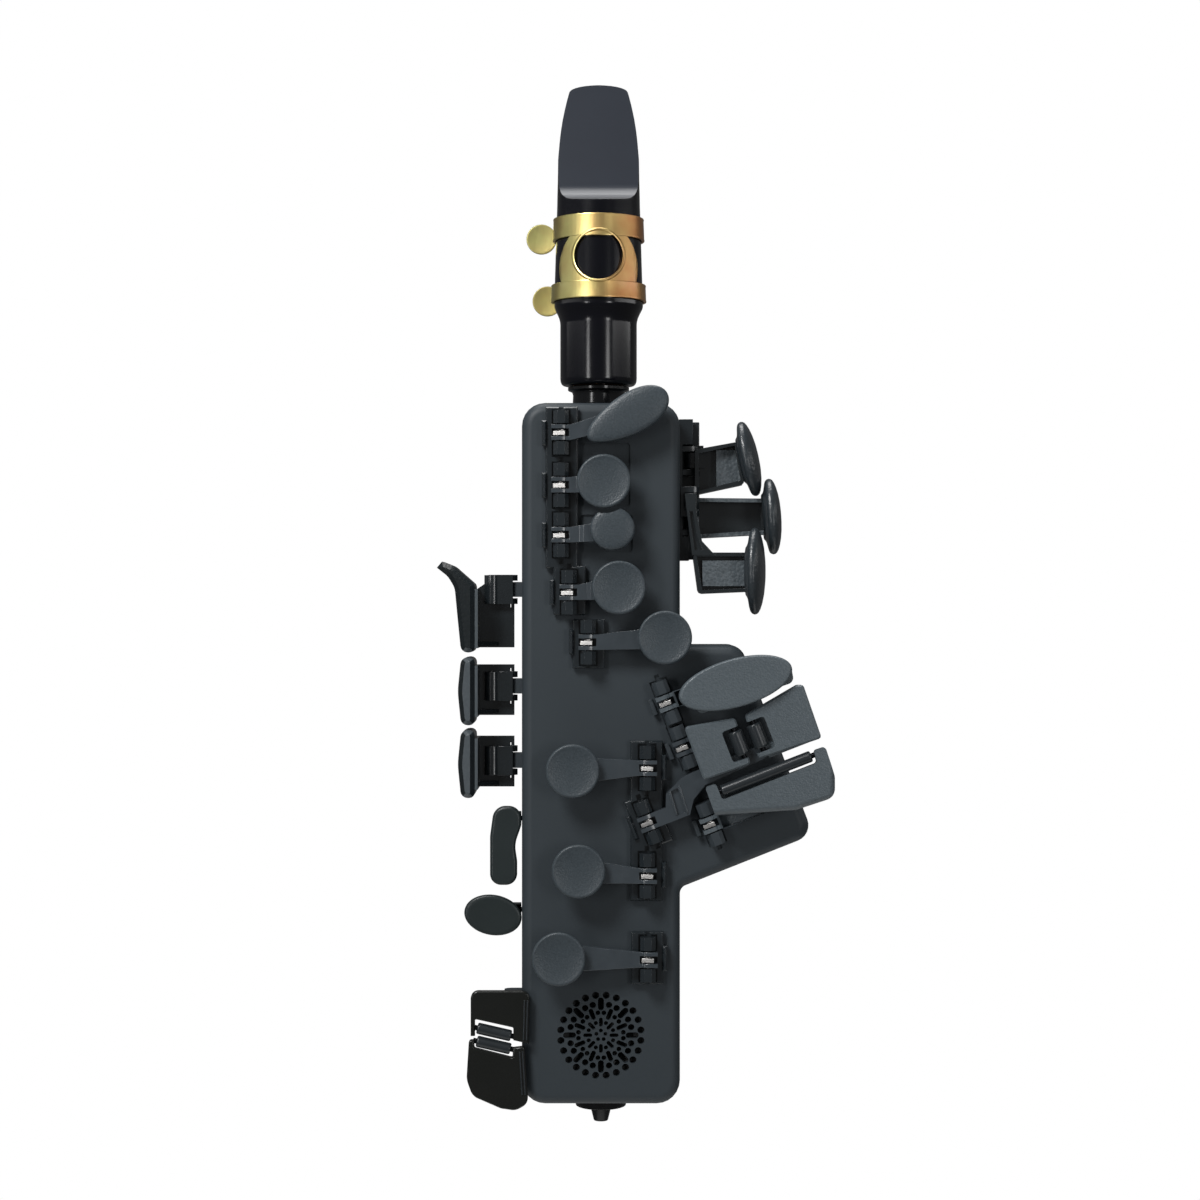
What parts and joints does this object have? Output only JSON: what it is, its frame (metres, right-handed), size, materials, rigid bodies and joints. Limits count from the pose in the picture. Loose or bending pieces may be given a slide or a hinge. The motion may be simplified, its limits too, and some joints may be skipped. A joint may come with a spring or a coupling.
{
  "type": "digital wind controller",
  "caption": "Electronic wind controller shaped like a small saxophone, with a reed-style mouthpiece, a side wing, and sprung keys on open hinges.",
  "frame": {"origin": "centre of the neck-strap eye on the back of the housing", "axes": "+Z along the instrument to the mouthpiece, -Y out of the front with the keys, +X to the side wing"},
  "size_m": [0.1189, 0.0623, 0.3185],
  "materials": {
    "housing_plastic": "satin moulded",
    "rail_plastic": "satin",
    "lever_plastic": "semi-gloss",
    "touch_plastic": "fine grain",
    "roller_plastic": "satin",
    "ebonite": "polished",
    "cane": "bare",
    "lacquered_brass": "lacquered",
    "cork": "bare cork",
    "neck_plastic": "gloss",
    "board_green": "solder mask",
    "battery_wrap": "heat-shrink wrap",
    "speaker_black": "matte",
    "spring_steel": "bright drawn"
  },
  "bodies": {
    "housing": {"front_shell": "housing_plastic", "rear_shell": "housing_plastic", "left_hand_rail": "rail_plastic", "g_key_bracket": "rail_plastic", "right_hand_rail": "rail_plastic", "d_key_bracket": "rail_plastic", "palm_key_bracket": "rail_plastic", "thumb_rest": "touch_plastic", "thumb_hook": "lever_plastic", "strap_eye": "lacquered_brass", "circuit_board": "board_green", "battery": "battery_wrap", "speaker": "speaker_black", "breath_sensor": "speaker_black", "neck_tube": "neck_plastic", "neck_cork": "cork", "drain_spout": "neck_plastic"},
    "mouthpiece": {"mouthpiece": "ebonite", "reed": "cane", "ligature": "lacquered_brass"},
    "upper_ligature_screw": {"ligature_screw_upper": "lacquered_brass"},
    "lower_ligature_screw": {"ligature_screw_lower": "lacquered_brass"},
    "front_f_key": {"front_f_lever": "lever_plastic", "front_f_cap": "touch_plastic"},
    "b_key": {"b_lever": "lever_plastic", "b_cap": "touch_plastic"},
    "bis_key": {"bis_lever": "lever_plastic", "bis_cap": "touch_plastic"},
    "a_key": {"a_lever": "lever_plastic", "a_cap": "touch_plastic"},
    "g_key": {"g_lever": "lever_plastic", "g_cap": "touch_plastic"},
    "f_key": {"f_lever": "lever_plastic", "f_cap": "touch_plastic"},
    "e_key": {"e_lever": "lever_plastic", "e_cap": "touch_plastic"},
    "d_key": {"d_lever": "lever_plastic", "d_cap": "touch_plastic"},
    "g_sharp_key": {"g_sharp_key": "touch_plastic"},
    "c_sharp_key": {"c_sharp_key": "lever_plastic"},
    "c_sharp_roller": {"c_sharp_roller": "roller_plastic"},
    "low_b_key": {"low_b_key": "lever_plastic"},
    "low_b_roller": {"low_b_roller": "roller_plastic"},
    "low_b_flat_key": {"low_b_flat_key": "lever_plastic"},
    "low_b_flat_roller": {"low_b_flat_roller": "roller_plastic"},
    "palm_d_key": {"palm_d_key": "lever_plastic"},
    "palm_e_flat_key": {"palm_e_flat_key": "lever_plastic"},
    "palm_f_key": {"palm_f_key": "lever_plastic"},
    "side_e_key": {"side_e_key": "lever_plastic"},
    "side_c_key": {"side_c_key": "lever_plastic"},
    "side_b_flat_key": {"side_b_flat_key": "lever_plastic"},
    "high_f_sharp_key": {"high_f_sharp_key": "touch_plastic"},
    "trill_key": {"trill_key": "touch_plastic"},
    "low_e_flat_key": {"low_e_flat_key": "lever_plastic"},
    "low_e_flat_roller": {"low_e_flat_roller": "roller_plastic"},
    "low_c_key": {"low_c_key": "lever_plastic"},
    "low_c_roller": {"low_c_roller": "roller_plastic"},
    "octave_key": {"octave_key": "lever_plastic"}
  },
  "joints": [
    {"name": "mouthpiece_slide", "type": "slide", "parent": "housing", "child": "mouthpiece", "axis": [0, 0, 1], "range_m": [0, 0.008]},
    {"name": "upper_ligature_screw_turn", "type": "hinge", "parent": "mouthpiece", "child": "upper_ligature_screw", "pos_m": [-0.00071, -0.0044, 0.14293], "axis": [1, 0, 0], "continuous": true},
    {"name": "lower_ligature_screw_turn", "type": "hinge", "parent": "mouthpiece", "child": "lower_ligature_screw", "pos_m": [-0.00071, -0.0044, 0.12353], "axis": [1, 0, 0], "continuous": true},
    {"name": "front_f_press", "type": "hinge", "parent": "housing", "child": "front_f_key", "pos_m": [-0.01188, -0.0401, 0.07988], "axis": [0, 0, 1], "range_deg": [0, 6], "stiffness_Nm_per_rad": 0.02, "springref_deg": -5.73},
    {"name": "b_press", "type": "hinge", "parent": "housing", "child": "b_key", "pos_m": [-0.01188, -0.0401, 0.06425], "axis": [0, 0, 1], "range_deg": [0, 8], "stiffness_Nm_per_rad": 0.02, "springref_deg": -5.73},
    {"name": "bis_press", "type": "hinge", "parent": "housing", "child": "bis_key", "pos_m": [-0.01188, -0.0401, 0.0494], "axis": [0, 0, 1], "range_deg": [0, 8], "stiffness_Nm_per_rad": 0.02, "springref_deg": -5.73},
    {"name": "a_press", "type": "hinge", "parent": "housing", "child": "a_key", "pos_m": [-0.0095, -0.0401, 0.03228], "axis": [0, 0, 1], "range_deg": [0, 8], "stiffness_Nm_per_rad": 0.02, "springref_deg": -5.73},
    {"name": "g_press", "type": "hinge", "parent": "housing", "child": "g_key", "pos_m": [-0.00378, -0.0401, 0.01743], "axis": [0, 0, 1], "range_deg": [0, 5.5], "stiffness_Nm_per_rad": 0.02, "springref_deg": -5.73},
    {"name": "f_press", "type": "hinge", "parent": "housing", "child": "f_key", "pos_m": [0.0138, -0.0401, -0.02002], "axis": [0, 0, -1], "range_deg": [0, 5.5], "stiffness_Nm_per_rad": 0.02, "springref_deg": -5.73},
    {"name": "e_press", "type": "hinge", "parent": "housing", "child": "e_key", "pos_m": [0.0138, -0.0401, -0.05212], "axis": [0, 0, -1], "range_deg": [0, 6], "stiffness_Nm_per_rad": 0.02, "springref_deg": -5.73},
    {"name": "d_press", "type": "hinge", "parent": "housing", "child": "d_key", "pos_m": [0.01402, -0.0401, -0.07708], "axis": [0, 0, -1], "range_deg": [0, 4.5], "stiffness_Nm_per_rad": 0.02, "springref_deg": -5.73},
    {"name": "g_sharp_press", "type": "hinge", "parent": "housing", "child": "g_sharp_key", "pos_m": [0.01963, -0.0401, -0.00048], "axis": [-0.3633, 0, 0.9317], "range_deg": [0, 5], "stiffness_Nm_per_rad": 0.02, "springref_deg": -5.73},
    {"name": "c_sharp_press", "type": "hinge", "parent": "housing", "child": "c_sharp_key", "pos_m": [0.0246, -0.0401, -0.01378], "axis": [-0.3633, 0, 0.9317], "range_deg": [0, 5], "stiffness_Nm_per_rad": 0.02, "springref_deg": -5.73},
    {"name": "c_sharp_roller_turn", "type": "hinge", "parent": "c_sharp_key", "child": "c_sharp_roller", "pos_m": [0.04074, -0.0462, -0.01222], "axis": [-0.3633, 0, 0.9317], "continuous": true},
    {"name": "low_b_press", "type": "hinge", "parent": "housing", "child": "low_b_key", "pos_m": [0.01413, -0.0401, -0.0362], "axis": [-0.3633, 0, 0.9317], "range_deg": [0, 3.5], "stiffness_Nm_per_rad": 0.02, "springref_deg": -5.73},
    {"name": "low_b_roller_turn", "type": "hinge", "parent": "low_b_key", "child": "low_b_roller", "pos_m": [0.04634, -0.0462, -0.01004], "axis": [-0.3633, 0, 0.9317], "continuous": true},
    {"name": "low_b_flat_press", "type": "hinge", "parent": "housing", "child": "low_b_flat_key", "pos_m": [0.0327, -0.0401, -0.0367], "axis": [-0.3633, 0, 0.9317], "range_deg": [0, 5], "stiffness_Nm_per_rad": 0.02, "springref_deg": -5.73},
    {"name": "low_b_flat_roller_turn", "type": "hinge", "parent": "low_b_flat_key", "child": "low_b_flat_roller", "pos_m": [0.04889, -0.0462, -0.02126], "axis": [0.9317, 0, 0.3633], "continuous": true},
    {"name": "palm_d_press", "type": "hinge", "parent": "housing", "child": "palm_d_key", "pos_m": [0.0278, -0.0151, 0.07292], "axis": [0, 0, -1], "range_deg": [0, 6], "stiffness_Nm_per_rad": 0.02, "springref_deg": -5.73},
    {"name": "palm_e_flat_press", "type": "hinge", "parent": "housing", "child": "palm_e_flat_key", "pos_m": [0.0278, -0.0151, 0.05435], "axis": [0, 0, -1], "range_deg": [0, 6], "stiffness_Nm_per_rad": 0.02, "springref_deg": -5.73},
    {"name": "palm_f_press", "type": "hinge", "parent": "housing", "child": "palm_f_key", "pos_m": [0.0278, -0.0266, 0.05984], "axis": [0, 0, -1], "range_deg": [0, 6], "stiffness_Nm_per_rad": 0.02, "springref_deg": -5.73},
    {"name": "side_e_press", "type": "hinge", "parent": "housing", "child": "side_e_key", "pos_m": [-0.0278, -0.0151, 0.03325], "axis": [0, 0, 1], "range_deg": [0, 7], "stiffness_Nm_per_rad": 0.02, "springref_deg": -5.73},
    {"name": "side_c_press", "type": "hinge", "parent": "housing", "child": "side_c_key", "pos_m": [-0.0278, -0.0151, 0.0035], "axis": [0, 0, 1], "range_deg": [0, 7], "stiffness_Nm_per_rad": 0.02, "springref_deg": -5.73},
    {"name": "side_b_flat_press", "type": "hinge", "parent": "housing", "child": "side_b_flat_key", "pos_m": [-0.0278, -0.0151, -0.01939], "axis": [0, 0, 1], "range_deg": [0, 7], "stiffness_Nm_per_rad": 0.02, "springref_deg": -5.73},
    {"name": "high_f_sharp_press", "type": "hinge", "parent": "housing", "child": "high_f_sharp_key", "pos_m": [-0.0259, -0.0265, -0.03627], "axis": [1, 0, 0], "range_deg": [0, 6], "stiffness_Nm_per_rad": 0.02, "springref_deg": -5.73},
    {"name": "trill_press", "type": "hinge", "parent": "housing", "child": "trill_key", "pos_m": [-0.0259, -0.0265, -0.06402], "axis": [1, 0, 0], "range_deg": [0, 6], "stiffness_Nm_per_rad": 0.02, "springref_deg": -5.73},
    {"name": "low_e_flat_press", "type": "hinge", "parent": "housing", "child": "low_e_flat_key", "pos_m": [-0.027, -0.0305, -0.09197], "axis": [0, 0, -1], "range_deg": [0, 8], "stiffness_Nm_per_rad": 0.02, "springref_deg": -5.73},
    {"name": "low_e_flat_roller_turn", "type": "hinge", "parent": "low_e_flat_key", "child": "low_e_flat_roller", "pos_m": [-0.03191, -0.0378, -0.09915], "axis": [-0.9744, 0, 0.225], "continuous": true},
    {"name": "low_c_press", "type": "hinge", "parent": "housing", "child": "low_c_key", "pos_m": [-0.027, -0.0305, -0.1136], "axis": [0, 0, -1], "range_deg": [0, 8], "stiffness_Nm_per_rad": 0.02, "springref_deg": -5.73},
    {"name": "low_c_roller_turn", "type": "hinge", "parent": "low_c_key", "child": "low_c_roller", "pos_m": [-0.03209, -0.0378, -0.10305], "axis": [-0.9744, 0, 0.225], "continuous": true},
    {"name": "octave_press", "type": "hinge", "parent": "housing", "child": "octave_key", "pos_m": [0, -0.0029, 0.07883], "axis": [-1, 0, 0], "range_deg": [0, 8], "stiffness_Nm_per_rad": 0.02, "springref_deg": -5.73}
  ]
}
